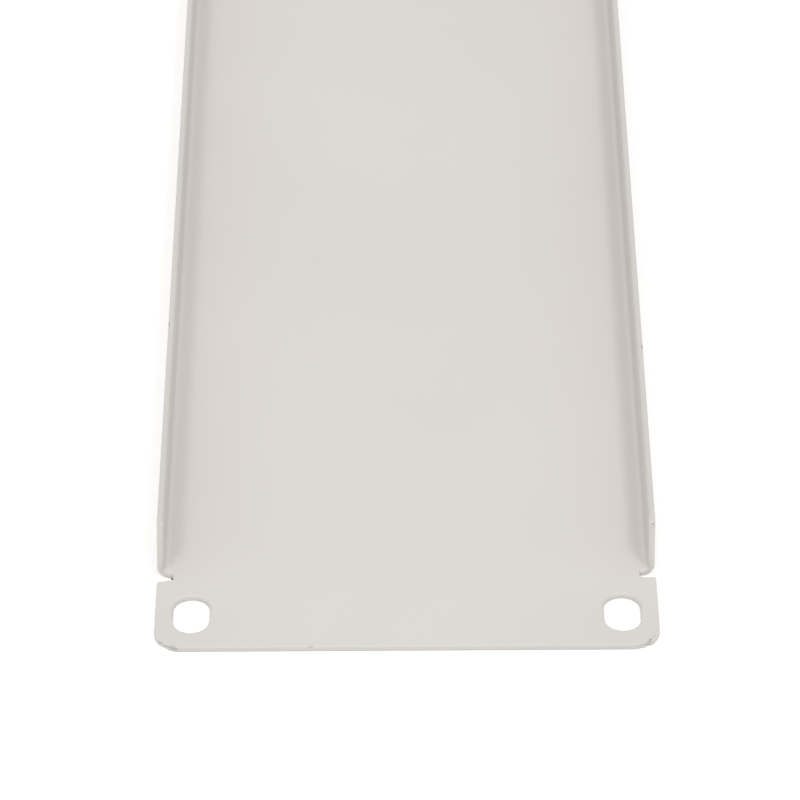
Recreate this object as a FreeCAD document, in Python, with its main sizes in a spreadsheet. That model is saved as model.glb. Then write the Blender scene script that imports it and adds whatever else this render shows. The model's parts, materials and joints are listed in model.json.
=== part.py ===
import FreeCAD, Part
import math
import os
import Sketcher

# Blanking panel for two units of a 19-inch rack: one folded sheet, painted all over.
# Frame: +X along the panel, +Y across it, +Z up. The face that shows on a rack lies
# at z = 0, the two flanges rise from it, and the origin is under the panel's middle.
# Lengths are in millimetres and angles in degrees.

# Driving dimensions: name, value and what it measures.
DIMENSIONS = (
    ("panel_length", "482.6", "end to end, the width of a 19-inch rack front"),
    ("ear_width", "89.0", "across the ears, two rack units over the paint"),
    ("sheet_thickness", "1.2", "painted steel sheet"),
    ("ear_corner_radius", "4.5", "outer corners of the ears"),
    ("ear_length", "17.95", "end of the panel to the slit beside the ear"),
    ("slit_width", "1.8", "relief slit between ear and flange"),
    ("slit_overrun", "0.48", "how far a slit runs on past the start of the fold"),
    ("slit_mouth_radius", "0.5", "corner of the ear at the mouth of a slit"),
    ("flange_inset", "0.07", "edge of the ear to the outside of the flange"),
    ("flange_height", "12.7", "face of the panel to the top of a flange"),
    ("bend_radius", "1.0", "inside of the fold"),
    ("bend_angle", "91.3", "turn of the fold, so the flanges lean in a little"),
    ("slot_width", "6.5", "clears an M6 screw"),
    ("slot_length", "9.8", "along the panel"),
    ("slot_to_end", "8.75", "middle of a slot to the end of the panel"),
    ("slot_to_edge", "6.4", "middle of a slot to the long edge of its ear"),
)

# Sizes that follow from the driving ones.
DERIVED = (
    ("outer_bend_radius", "=bend_radius + sheet_thickness", "outside of the fold"),
    ("bend_centre", "=ear_width / 2 - flange_inset - outer_bend_radius", "middle to the start of the fold"),
    ("web_edge", "=bend_centre - slit_overrun", "middle to the bottom of a slit"),
    ("ear_gap", "=panel_length - 2 * ear_length", "from ear to ear, with both slits"),
    ("flange_length", "=ear_gap - 2 * slit_width", "from slit to slit"),
    ("slot_span", "=panel_length - 2 * slot_to_end", "slots, centre to centre along the panel"),
    ("slot_pitch", "=ear_width - 2 * slot_to_edge", "slots, centre to centre across the panel"),
)

# Sketcher's names for its origin point and its horizontal axis.
ORIGIN = (-1, 1)
HORIZONTAL_AXIS = -1

# Ends and centre of an edge, as constraints name them.
START, END, CENTRE = 1, 2, 3


def add_dimensions(document):
    """Spreadsheet with one named size to a row."""
    sheet = document.addObject("Spreadsheet::Sheet", "dimensions")
    for row, (name, content, note) in enumerate(DIMENSIONS + DERIVED, start=1):
        sheet.set("A%d" % row, name)
        sheet.set("B%d" % row, content)
        sheet.set("C%d" % row, note)
        sheet.setAlias("B%d" % row, name)
    document.recompute()
    return sheet


def origin_plane(body, role):
    """One of the body's own origin planes."""
    for feature in body.Origin.OriginFeatures:
        if feature.Role == role:
            return feature
    raise RuntimeError("the body has no origin plane " + role)


def new_sketch(body, name, role):
    """Empty sketch on one of the body's origin planes."""
    sketch = body.newObject("Sketcher::SketchObject", name)
    sketch.AttachmentSupport = (origin_plane(body, role), "")
    sketch.MapMode = "FlatFace"
    return sketch


def bind(sketch, name, kind, points, expression):
    """Named dimension between points of a sketch, driven by an expression on the sheet."""
    value = float(sketch.evalExpression(expression))
    if kind == "Angle":
        value = math.radians(value)
    index = sketch.addConstraint(Sketcher.Constraint(kind, *points, value))
    sketch.renameConstraint(index, name)
    sketch.setExpression("Constraints." + name, expression)


def tie(sketch, kind, *points):
    """Constraint without a size, such as a tangent or a shared point."""
    sketch.addConstraint(Sketcher.Constraint(kind, *points))


def add_line(sketch, start, end):
    """Straight edge."""
    return sketch.addGeometry(Part.LineSegment(FreeCAD.Vector(*start), FreeCAD.Vector(*end)))


def add_arc(sketch, centre, radius, start_angle, end_angle):
    """Arc that turns counter-clockwise from one angle to the other."""
    circle = Part.Circle(FreeCAD.Vector(*centre), FreeCAD.Vector(0, 0, 1), radius)
    limits = (math.radians(start_angle), math.radians(end_angle))
    return sketch.addGeometry(Part.ArcOfCircle(circle, *limits))


def add_rectangle(sketch, left, bottom, right, top):
    """Upright rectangle. Returns its bottom, right, top and left edges, head to tail."""
    corners = ((left, bottom), (right, bottom), (right, top), (left, top))
    edges = [add_line(sketch, corners[k], corners[(k + 1) % 4]) for k in range(4)]
    for k in range(4):
        tie(sketch, "Coincident", edges[k], END, edges[(k + 1) % 4], START)
        tie(sketch, "Horizontal" if k % 2 == 0 else "Vertical", edges[k])
    return edges


def check_sketch(sketch):
    """A sketch must solve, with nothing left free and nothing stated twice."""
    if sketch.solve() != 0 or not sketch.FullyConstrained:
        raise RuntimeError("sketch %s doesn't solve fully" % sketch.Name)


def pad(body, name, sketch, expression):
    """Solid raised from a sketch."""
    check_sketch(sketch)
    feature = body.newObject("PartDesign::Pad", name)
    feature.Profile = sketch
    feature.setExpression("Length", expression)
    return feature


def pocket(body, name, sketch):
    """Cut upward from a sketch under the sheet, right through it."""
    check_sketch(sketch)
    before = body.Shape.Volume
    feature = body.newObject("PartDesign::Pocket", name)
    feature.Profile = sketch
    feature.Type = "ThroughAll"
    feature.Reversed = True
    body.Document.recompute()
    if not feature.Shape.Volume < before:
        raise RuntimeError("pocket %s cuts nothing" % name)
    return feature


def corner_edges(shape, x, y, height):
    """Names of the four upright edges at (+-x, +-y) that are as tall as the sheet."""
    names = []
    for number, edge in enumerate(shape.Edges, start=1):
        box = edge.BoundBox
        upright = box.XLength < 1e-6 and box.YLength < 1e-6 and abs(box.ZLength - height) < 1e-6
        if upright and abs(abs(box.XMin) - x) < 1e-6 and abs(abs(box.YMin) - y) < 1e-6:
            names.append("Edge%d" % number)
    if len(names) != 4:
        raise RuntimeError("%d corners found in place of 4" % len(names))
    return names


def round_corners(body, name, x, y, height, expression):
    """Fillet on the four upright edges at (+-x, +-y)."""
    base = body.Tip
    fillet = body.newObject("PartDesign::Fillet", name)
    fillet.Base = (base, corner_edges(base.Shape, x, y, height))
    fillet.setExpression("Radius", expression)
    body.Document.recompute()
    return fillet


def face_plate(body, size):
    """Flat sheet of the full length, as wide as the ears."""
    sketch = new_sketch(body, "face_outline", "XY_Plane")
    half_length = size.panel_length / 2
    half_width = size.ear_width / 2
    bottom, right, top, _ = add_rectangle(sketch, -half_length, -half_width, half_length, half_width)
    tie(sketch, "Symmetric", bottom, START, top, START, *ORIGIN)
    bind(sketch, "length", "DistanceX", (bottom, START, bottom, END), "dimensions.panel_length")
    bind(sketch, "width", "DistanceY", (right, START, right, END), "dimensions.ear_width")
    return pad(body, "face_plate", sketch, "dimensions.sheet_thickness")


def edge_notch(body, size):
    """Cut along one long edge, from ear to ear, that leaves room for a flange and its slits."""
    sketch = new_sketch(body, "notch_outline", "XY_Plane")
    half_gap = size.ear_gap / 2
    past_edge = size.ear_width / 2 + size.sheet_thickness
    bottom, _, top, _ = add_rectangle(sketch, -half_gap, size.web_edge, half_gap, past_edge)
    bind(sketch, "gap", "DistanceX", (bottom, START, bottom, END), "dimensions.ear_gap")
    bind(sketch, "half_gap", "DistanceX", (*ORIGIN, bottom, END), "dimensions.ear_gap / 2")
    bind(sketch, "web_edge", "DistanceY", (*ORIGIN, bottom, START), "dimensions.web_edge")
    bind(
        sketch, "past_edge", "DistanceY", (*ORIGIN, top, START),
        "dimensions.ear_width / 2 + dimensions.sheet_thickness",
    )
    return pocket(body, "edge_notch", sketch)


def flange(body, size):
    """Fold and upright wall of one long edge, drawn as the section across the panel."""
    sketch = new_sketch(body, "flange_section", "YZ_Plane")
    lean = size.bend_angle - 90
    centre_y = size.bend_centre
    centre_z = size.outer_bend_radius
    across = (math.cos(math.radians(lean)), math.sin(math.radians(lean)))
    rise = (size.flange_height - centre_z - size.outer_bend_radius * across[1]) / across[0]

    def on_wall(radius, length):
        """Point of the wall: off the fold's centre, then along the wall."""
        return (
            centre_y + radius * across[0] - length * across[1],
            centre_z + radius * across[1] + length * across[0],
        )

    thickness = size.sheet_thickness
    foot = add_line(sketch, (size.web_edge, 0), (centre_y, 0))
    outer_bend = add_arc(sketch, (centre_y, centre_z), size.outer_bend_radius, -90, lean)
    outer_wall = add_line(sketch, on_wall(size.outer_bend_radius, 0), on_wall(size.outer_bend_radius, rise))
    top = add_line(sketch, on_wall(size.outer_bend_radius, rise), on_wall(size.bend_radius, rise))
    inner_wall = add_line(sketch, on_wall(size.bend_radius, rise), on_wall(size.bend_radius, 0))
    inner_bend = add_arc(sketch, (centre_y, centre_z), size.bend_radius, -90, lean)
    inner_foot = add_line(sketch, (centre_y, thickness), (size.web_edge, thickness))
    root = add_line(sketch, (size.web_edge, thickness), (size.web_edge, 0))

    tie(sketch, "Tangent", foot, END, outer_bend, START)
    tie(sketch, "Tangent", outer_bend, END, outer_wall, START)
    tie(sketch, "Coincident", outer_wall, END, top, START)
    tie(sketch, "Coincident", top, END, inner_wall, START)
    tie(sketch, "Tangent", inner_wall, END, inner_bend, END)
    tie(sketch, "Tangent", inner_bend, START, inner_foot, START)
    tie(sketch, "Coincident", inner_foot, END, root, START)
    tie(sketch, "Coincident", root, END, foot, START)
    tie(sketch, "Coincident", outer_bend, CENTRE, inner_bend, CENTRE)
    tie(sketch, "Horizontal", foot)
    tie(sketch, "Horizontal", inner_foot)
    tie(sketch, "Vertical", root)
    tie(sketch, "Perpendicular", outer_wall, top)
    tie(sketch, "Perpendicular", top, inner_wall)
    tie(sketch, "PointOnObject", foot, START, HORIZONTAL_AXIS)

    bind(sketch, "web_edge", "DistanceX", (*ORIGIN, foot, START), "dimensions.web_edge")
    bind(sketch, "bend_centre", "DistanceX", (*ORIGIN, outer_bend, CENTRE), "dimensions.bend_centre")
    bind(sketch, "thickness", "DistanceY", (root, END, root, START), "dimensions.sheet_thickness")
    bind(sketch, "bend_radius", "Radius", (inner_bend,), "dimensions.bend_radius")
    bind(sketch, "bend_angle", "Angle", (outer_wall,), "dimensions.bend_angle")
    bind(sketch, "height", "DistanceY", (*ORIGIN, outer_wall, END), "dimensions.flange_height")

    feature = pad(body, "flange", sketch, "dimensions.flange_length")
    feature.Midplane = True
    return feature


def both_edges(body, features):
    """The other long edge mirrors what was made at the first."""
    mirrored = body.newObject("PartDesign::Mirrored", "both_edges")
    mirrored.Originals = features
    mirrored.MirrorPlane = (origin_plane(body, "XZ_Plane"), [""])
    body.Tip = mirrored
    body.Document.recompute()
    return mirrored


def screw_slot(body, size):
    """One slot for a rack screw, long along the panel."""
    sketch = new_sketch(body, "slot_outline", "XY_Plane")
    radius = size.slot_width / 2
    reach = size.slot_length / 2 - radius
    middle_x = size.slot_span / 2
    middle_y = size.slot_pitch / 2
    near_x = middle_x - reach
    far_x = middle_x + reach
    lower = add_line(sketch, (near_x, middle_y - radius), (far_x, middle_y - radius))
    far_end = add_arc(sketch, (far_x, middle_y), radius, -90, 90)
    upper = add_line(sketch, (far_x, middle_y + radius), (near_x, middle_y + radius))
    near_end = add_arc(sketch, (near_x, middle_y), radius, 90, 270)
    tie(sketch, "Tangent", lower, END, far_end, START)
    tie(sketch, "Tangent", far_end, END, upper, START)
    tie(sketch, "Tangent", upper, END, near_end, START)
    tie(sketch, "Tangent", near_end, END, lower, START)
    tie(sketch, "Horizontal", lower)
    tie(sketch, "Equal", near_end, far_end)
    reach_formula = "(dimensions.slot_length - dimensions.slot_width) / 2"
    bind(sketch, "radius", "Radius", (near_end,), "dimensions.slot_width / 2")
    bind(
        sketch, "near_centre", "DistanceX", (*ORIGIN, near_end, CENTRE),
        "dimensions.slot_span / 2 - " + reach_formula,
    )
    bind(
        sketch, "far_centre", "DistanceX", (*ORIGIN, far_end, CENTRE),
        "dimensions.slot_span / 2 + " + reach_formula,
    )
    bind(sketch, "middle", "DistanceY", (*ORIGIN, near_end, CENTRE), "dimensions.slot_pitch / 2")
    return pocket(body, "screw_slot", sketch)


def four_slots(body, slot):
    """The slot, mirrored to the other end and the other edge."""
    document = body.Document
    before = body.Shape.Volume
    pattern = body.newObject("PartDesign::MultiTransform", "four_slots")
    pattern.Originals = [slot]
    steps = []
    for name, role in (("other_end", "YZ_Plane"), ("other_edge", "XZ_Plane")):
        step = body.newObject("PartDesign::Mirrored", name)
        step.MirrorPlane = (origin_plane(body, role), [""])
        steps.append(step)
    pattern.Transformations = steps
    body.Tip = pattern
    document.recompute()
    if not pattern.Shape.Volume < before:
        raise RuntimeError("the slots aren't repeated")
    return pattern


def build_panel(document, size):
    """The whole panel, in one body."""
    body = document.addObject("PartDesign::Body", "panel")
    body.Label = "panel"
    body.Placement = FreeCAD.Placement()
    face_plate(body, size)
    document.recompute()
    features = [edge_notch(body, size), flange(body, size)]
    both_edges(body, features)
    four_slots(body, screw_slot(body, size))
    across = (size.ear_width / 2, size.sheet_thickness)
    mouth = "dimensions.slit_mouth_radius"
    round_corners(body, "slit_mouths", size.ear_gap / 2, *across, mouth)
    corner = "dimensions.ear_corner_radius"
    round_corners(body, "ear_corners", size.panel_length / 2, *across, corner)
    return body


def check_document(document, bodies):
    """Every object must have computed, and every body must be one valid solid."""
    for item in document.Objects:
        if "Invalid" in item.State or "Error" in item.State:
            raise RuntimeError("%s failed: %s" % (item.Name, item.State))
    for body in bodies:
        shape = body.Shape
        if shape.isNull() or not shape.isValid() or len(shape.Solids) != 1:
            raise RuntimeError("%s isn't one valid solid" % body.Label)


def main():
    document = FreeCAD.newDocument("rack_blanking_panel")
    size = add_dimensions(document)
    bodies = [build_panel(document, size)]
    document.recompute()
    check_document(document, bodies)
    os.makedirs("parts", exist_ok=True)
    for body in bodies:
        body.Shape.exportStep(os.path.join("parts", body.Label + ".step"))
        box = body.Shape.BoundBox
        print("%s %.2f x %.2f x %.2f mm" % (body.Label, box.XLength, box.YLength, box.ZLength))


main()
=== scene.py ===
"""Rack blanking panel: the folded, powder-coated sheet on a studio floor.

The sheet is cut as a flat blank, worn and folded by Geometry Nodes, and takes the
place of the plain CAD solid. Lengths are in metres, in the frame of the CAD part:
+X along the panel, +Y across it, +Z up.
"""

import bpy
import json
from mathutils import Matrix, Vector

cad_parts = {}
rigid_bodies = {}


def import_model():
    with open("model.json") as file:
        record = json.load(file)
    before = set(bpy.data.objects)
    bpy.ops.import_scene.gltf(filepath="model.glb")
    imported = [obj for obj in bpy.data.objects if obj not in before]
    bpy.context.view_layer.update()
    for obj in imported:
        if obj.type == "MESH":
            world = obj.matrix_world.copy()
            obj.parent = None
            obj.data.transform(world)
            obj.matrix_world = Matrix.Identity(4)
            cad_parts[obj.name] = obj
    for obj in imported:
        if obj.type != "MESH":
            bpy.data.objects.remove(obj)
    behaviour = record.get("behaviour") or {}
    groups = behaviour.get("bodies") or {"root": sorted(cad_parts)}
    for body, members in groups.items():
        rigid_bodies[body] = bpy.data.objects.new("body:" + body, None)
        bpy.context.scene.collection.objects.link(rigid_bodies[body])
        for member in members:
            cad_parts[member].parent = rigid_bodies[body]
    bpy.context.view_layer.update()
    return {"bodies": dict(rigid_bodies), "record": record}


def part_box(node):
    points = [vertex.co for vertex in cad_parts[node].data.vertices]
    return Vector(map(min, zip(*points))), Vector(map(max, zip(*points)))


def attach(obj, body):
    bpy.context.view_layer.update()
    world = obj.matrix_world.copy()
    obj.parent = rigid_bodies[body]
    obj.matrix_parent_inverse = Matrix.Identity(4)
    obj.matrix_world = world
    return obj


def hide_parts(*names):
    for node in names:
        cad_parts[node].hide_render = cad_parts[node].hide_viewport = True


bl_info = {
    "name": "Rack blanking panel",
    "version": (1, 0, 0),
    "blender": (4, 5, 0),
    "location": "View3D > Sidebar > Rack panel",
    "description": "Cuts, folds and paints a rack blanking panel, and sets up its studio",
    "category": "Object",
}

import copy
import json
import math

import bmesh
import bpy
from bpy.props import FloatProperty, FloatVectorProperty, IntProperty, PointerProperty
from mathutils import Matrix, Vector, geometry, kdtree

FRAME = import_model()

NODE = "panel"
BODY = list(FRAME["bodies"])[0]
RECORD = FRAME["record"]
MOUNTS = {mount["name"]: mount for mount in RECORD["mounts"]}
SCREWS = MOUNTS["rack_screws"]["dims"]
LOW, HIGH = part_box(NODE)

MM = 0.001


# ---- settings

# How each kind of number shows in the sidebar, and its limits.
NUMBER_KINDS = {
    "size": {"unit": "LENGTH", "precision": 5, "min": 0.0},
    "shift": {"unit": "LENGTH", "precision": 5},
    "angle": {"subtype": "ANGLE"},
    "share": {"subtype": "FACTOR", "min": 0.0, "max": 1.0},
    "power": {"unit": "POWER", "min": 0.0},
}


def number(name, description, default, kind="size"):
    """A setting of one of these kinds, in metres, radians or watts."""
    return FloatProperty(name=name, description=description, default=default, **NUMBER_KINDS[kind])


class PanelSettings(bpy.types.PropertyGroup):
    """Sizes of the sheet. Those that the CAD part states come from it."""

    length: number("Length", "End to end", HIGH[0] - LOW[0])
    ear_width: number("Ear width", "Across the ears", HIGH[1] - LOW[1])
    flange_height: number("Flange height", "Face to flange top", HIGH[2] - LOW[2])
    thickness: number("Thickness", "Sheet with its paint", MOUNTS["rear_face"]["pos_m"][2] - LOW[2])
    slot_span: number("Slot span", "Slot centres, along", SCREWS["spacing_x_mm"] * MM)
    slot_pitch: number("Slot pitch", "Slot centres, across", SCREWS["spacing_y_mm"] * MM)
    slot_radius: number("Slot radius", "Round end of a slot", SCREWS["hole_r_mm"] * MM)
    slot_length: number("Slot length", "End to end", SCREWS["slot_length_mm"] * MM)
    ear_length: number("Ear length", "End of the panel to a slit", 17.95 * MM)
    ear_corner: number("Ear corner", "Outer corner radius of an ear", 4.5 * MM)
    slit_width: number("Slit width", "Between ear and flange", 1.8 * MM)
    slit_overrun: number("Slit overrun", "Past the start of the fold", 0.48 * MM)
    slit_mouth: number("Slit mouth", "Corner of the ear at a slit", 0.5 * MM)
    slit_skew: number("Slit skew", "How much wider one slit of a pair is cut", 0.24 * MM)
    flange_inset: number("Flange inset", "Ear edge to flange", 0.07 * MM)
    end_draw: number("End draw", "How far bending draws in a fold's end", 0.34 * MM)
    left_shift: number("Left shift", "Left fold, outwards", 0.065 * MM, "shift")
    right_shift: number("Right shift", "Right fold, outwards", -0.16 * MM, "shift")
    flange_corner: number("Flange corner", "Free corner of a flange", 0.5 * MM)
    bend_radius: number("Bend radius", "Inside of the fold", 1.1 * MM)
    bend_angle: number("Bend angle", "Past square, so the flanges lean in", math.radians(91.3), "angle")
    left_lean: number("Left lean", "Extra turn of the left fold", math.radians(0.3), "angle")
    right_lean: number("Right lean", "Extra turn of the right fold", math.radians(-0.4), "angle")
    rear_edge: number("Rear edge", "Rolled edge of the rear face, at its least", 0.2 * MM)
    slot_edge: number("Slot edge", "Rolled rear edge of a slot, inner side", 0.55 * MM)
    top_edge: number("Top edge", "Rolled inner edge of a flange's top", 0.68 * MM)
    end_edge: number("End edge", "Rolled inner edge of a flange's ends", 0.65 * MM)
    front_edge: number("Front edge", "Rounded edge of the face that shows", 0.24 * MM)


class PaintSettings(bpy.types.PropertyGroup):
    """Powder coat, its wear, and the shade painted on it."""

    colour: FloatVectorProperty(
        name="Colour",
        description="Light warm grey of the powder coat",
        default=(0.699, 0.667, 0.633),
        subtype="COLOR",
        min=0.0,
        max=1.0,
    )
    roughness: number("Roughness", "Satin finish", 0.44, "share")
    # Edge darkening is painted shade on the cut edges, for their rolled rims and the floor's shade near the
    # front face, over paint that is thin there.
    edge_darkening: number("Edge darkening", "Of a flange's top, where paint is thin", 0.09, "share")
    # The ears' corners are painted darker: painted shade, where the light falls off.
    handling: number("Handling", "How much darker the much-held corners are", 0.045, "share")
    # Rim sets how deep into a cut edge the painted shade reaches.
    rim: number("Rim", "How deep into a cut edge its paint gets thin", 0.05 * MM)
    peel_size: number("Peel size", "Width of the coat's orange peel", 1.1 * MM)
    peel_height: number("Peel height", "Depth of the coat's orange peel", 0.006 * MM)
    grit_size: number("Grit size", "Width of the coat's fine grain", 0.28 * MM)
    grit_height: number("Grit height", "Depth of the coat's fine grain", 0.0012 * MM)
    seed: IntProperty(name="Seed", description="Changes the wear's ragged outlines", default=7)


class StageSettings(bpy.types.PropertyGroup):
    """Floor, lamps and camera."""

    floor_size: number("Floor size", "Side of the square floor", 30.0)
    sky: number("Sky", "Strength of the white surround", 0.70, "share")
    left_power: number("Left power", "The softbox to the left", 11.3, "power")
    right_power: number("Right power", "The softbox to the right", 13.9, "power")
    front_power: number("Front power", "The softbox between them", 6.4, "power")
    lamp_size: number("Lamp size", "Side of a softbox", 0.42)
    lamp_distance: number("Lamp distance", "From the panel", 3.0)


# ---- the flat blank

# Edges are sampled finely at wear and coarsely elsewhere. The last step before a stop
# may be longer than the others, so that no step is a sliver.
FINE_STEP = 0.10 * MM
COARSE_STEP = 4.0 * MM
STEP_GROWTH = 0.35
LONGEST_LAST_STEP = 1.5
ARC_STEP = math.radians(7.5)
FEWEST_ARC_STEPS = 3

# A rounded edge's segments, and those of the flat between the front edge and the rear one.
EDGE_ARC_SEGMENTS = 4
EDGE_FLAT_STEPS = 5

# The roll on the rear face's edge sets in over a run. Up a flange's end it fades by a share.
ROLL_RUN = 2.0 * MM
WALL_EDGE_FADE = 0.5

# The fold's segments. Beside the fold and the rounded edges, an edge at HOLD keeps the rest flat.
BEND_SEGMENTS = 18
HOLD = 0.05 * MM

# Points inside the faces: a grid, and round each mark a patch that reaches this many times
# as far as the mark, and keeps clear of the edges.
FACE_GRID = 8.0 * MM
PATCH_REACH = 1.5
PATCH_CLEARANCE = 0.7 * FINE_STEP

# The triangulation keeps what lies inside its edges, and takes points this near for one.
INSIDE_EDGES = 1
SAME_POINT = 1e-7

# The bands round the outlines are welded to the faces over this gap.
WELD = 0.002 * MM

# The two ends of an edge's profile, which are the faces that it joins.
FRONT = 0
REAR = -1


class Fold:
    """Where the sheet turns, and how far its flat blank reaches."""

    def __init__(self, size):
        self.outer = size.bend_radius + size.thickness
        self.middle = size.bend_radius + size.thickness / 2
        self.start = size.ear_width / 2 - size.flange_inset - self.outer
        self.angle = size.bend_angle
        self.arc = self.middle * self.angle
        self.tip = self.blank_across(size.flange_height)
        self.ear_inner = size.length / 2 - size.ear_length
        self.flange_end = self.ear_inner - size.slit_width
        self.slit_bottom = self.start - size.slit_overrun

    def blank_across(self, height):
        """Distance from the middle, on the flat blank, of a height on the flange's outside."""
        rise = height - self.outer * (1 - math.cos(self.angle))
        return self.start + self.arc + rise / math.sin(self.angle)


class Mark:
    """One spot of wear, or, at the left slit's tip, of painted shade. Its place is on the flat blank: along,
    across, and through.
    """

    def __init__(self, name, place, reach, push, ragged, chip=0.0, scuff=0.0):
        self.name = name
        self.place = Vector(place) * MM
        self.reach = Vector(reach) * MM
        self.push = Vector(push) * MM
        self.ragged = ragged
        self.chip = chip
        self.scuff = scuff

    def mirrored(self, sign_x, sign_y):
        """The same spot, seen from another quarter of the sheet."""
        twin = copy.copy(self)
        twin.place = self.place * Vector((sign_x, sign_y, 1))
        return twin


def wear_marks(size, fold):
    """The knocks that the panel has taken, near its +X end and along its flanges, and painted shade at the
    left slit's tip.
    """
    end = size.length / 2 / MM
    thick = size.thickness / MM
    rim = thick - 0.35
    tip = fold.tip / MM
    flange_end = fold.flange_end / MM
    ear_inner = fold.ear_inner / MM
    near_top = fold.blank_across(size.flange_height - 0.6 * MM) / MM
    below_top = fold.blank_across(size.flange_height - 1.4 * MM) / MM
    slit = fold.slit_bottom / MM
    # Name, place, reach and push in millimetres, and how ragged, chipped and scuffed it is.
    rows = (
        ("pressed corner", (end - 0.55, 41.0, 0.6), (1.1, 1.7, 1.6), (-0.17, -0.05, 0), 0.1),
        ("corner bite", (end - 0.7, 42.45, 0.45), (0.5, 0.65, 1.2), (-0.48, -0.12, 0), 0.4),
        ("corner swell", (end - 1.45, 43.55, 0.6), (0.8, 0.6, 0.8), (0.04, 0.04, 0.05), 0.3),
        ("corner lump", (end - 2.0, 43.4, thick), (0.65, 0.45, 0.5), (0, 0, 0.07), 0.3, 0, 0.2),
        ("corner pit", (end - 1.4, 42.72, thick), (0.3, 0.32, 0.5), (0, 0, -0.14), 0.3, 0.42, 0.4),
        ("corner crack", (end - 0.95, 42.45, thick - 0.1), (0.34, 0.2, 0.5), (0, 0, -0.06), 0.4, 0.12, 0.2),
        ("corner flake", (end - 0.5, 41.65, rim), (0.26, 0.42, 0.4), (-0.06, 0, -0.04), 0.5, 0.1, 0.2),
        ("edge spot", (end - 0.15, 41.05, rim), (0.22, 0.24, 0.3), (-0.03, 0, -0.03), 0.5, 0.12, 0.2),
        ("knocked corner", (end - 1.1, -42.4, 0.6), (1.4, 1.6, 1.6), (-0.21, 0.13, 0), 0.1),
        ("rubbed corner", (end - 0.22, -41.1, thick - 0.4), (0.5, 1.3, 0.55),
         (-0.04, 0, -0.05), 0.5, 0.04, 0.8),
        ("rubbed pit", (end - 0.18, -40.45, thick - 0.55), (0.24, 0.34, 0.3),
         (-0.03, 0, -0.05), 0.3, 0.22, 0.4),
        ("rubbed edge", (end - 0.85, -42.42, 0.7), (0.24, 0.28, 0.3), (-0.05, 0.04, 0), 0.3, 0.3, 0.4),
        ("rubbed rim", (end - 0.58, -42.0, 0.75), (0.24, 0.28, 0.3), (-0.05, 0.04, 0), 0.3, 0.18, 0.4),
        ("scraped side", (end - 1.7, -43.25, rim), (0.6, 0.5, 0.4), (-0.03, 0.03, 0), 0.5, 0.03, 0.6),
        ("edge nick", (end - 0.05, -16.95, thick - 0.1), (0.26, 0.66, 0.34),
         (-0.05, 0, -0.15), 0.25, 0.12, 0.3),
        ("left flange chip", (163.77, -tip, 0.1), (0.85, 0.32, 0.22), (0, 0.08, 0.04), 0.3, 0.38, 0.2),
        ("right flange chip", (171.29, tip, 0.08), (0.85, 0.32, 0.2), (0, -0.06, 0.04), 0.3, 0.6, 0.2),
        ("flange end pit", (flange_end, near_top, 0.42), (0.26, 0.21, 0.17), (-0.06, 0, 0), 0.3, 0.6, 0.2),
        ("flange end speck", (flange_end, below_top, 0.42), (0.22, 0.17, 0.2), (-0.05, 0, 0), 0.3, 0.2, 0.2),
        ("inner rim speck", (flange_end - 0.1, -near_top + 0.4, 1.05), (0.25, 0.18, 0.2),
         (-0.04, 0, 0), 0.3, 0.2),
        ("left slit burr", (ear_inner + 0.2, -slit - 0.6, 0.6), (0.6, 1.3, 1.5), (-0.2, 0, 0), 0.1),
        # A black spot painted at the left slit's tip: painted shade in the narrow hole.
        ("left slit pit", (flange_end, -slit - 0.17, 0.12), (0.32, 0.34, 0.45), (0.4, 0, 0), 0.2, 1),
        # A faint darker patch at the right slit's tip.
        ("right slit stain", (flange_end, slit + 0.3, 0.35), (0.3, 0.45, 0.3), (0, 0, 0), 0.4, 0.02, 0.1),
    )
    marks = [Mark(*row) for row in rows]
    # Specks on the face: where along and across, how far they reach, and how dark they are.
    specks = (
        (234.2, 4.6, 0.16, 0.16, 0.15),
        (237.2, 8.3, 0.16, 0.20, 0.15),
        (236.2, 24.7, 0.16, 0.16, 0.18),
        (238.4, 25.2, 0.14, 0.14, 0.18),
        (236.6, 31.5, 0.16, 0.16, 0.15),
        (116.9, 22.6, 0.18, 0.18, 0.15),
    )
    for along, across, reach_along, reach_across, chip in specks:
        reach = (reach_along, reach_across, 0.3)
        marks.append(Mark("face speck", (along, across, thick), reach, (0, 0, 0.03), 0.3, chip))
    return marks


def local_step(point, marks):
    """Sampling step at a point: fine beside any mark, and growing away from it."""
    step = COARSE_STEP
    for mark in marks:
        along = max(0.0, abs(point.x - mark.place.x) - mark.reach.x)
        across = max(0.0, abs(point.y - mark.place.y) - mark.reach.y)
        step = min(step, FINE_STEP + STEP_GROWTH * math.hypot(along, across))
    return step


def sample_line(start, end, marks, stops=()):
    """Points from start up to, but not at, end. Stops are shares of the way to pass through."""
    start, end = Vector(start), Vector(end)
    run = (end - start).length
    shares = [0.0]
    for stop in sorted(set(stops) | {1.0}):
        while True:
            step = local_step(start.lerp(end, shares[-1]), marks) / run
            if shares[-1] + LONGEST_LAST_STEP * step >= stop:
                break
            shares.append(shares[-1] + step)
        shares.append(stop)
    return [start.lerp(end, share) for share in shares[:-1]]


def on_circle(centre, radius, angle):
    """Point on a circle."""
    return centre + radius * Vector((math.cos(angle), math.sin(angle)))


def fold_rows(fold):
    """Distances from the middle at which the blank needs an edge to fold along."""
    bend = [fold.start + fold.arc * k / BEND_SEGMENTS for k in range(BEND_SEGMENTS + 1)]
    return [fold.start - HOLD, *bend, fold.start + fold.arc + HOLD]


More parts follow.
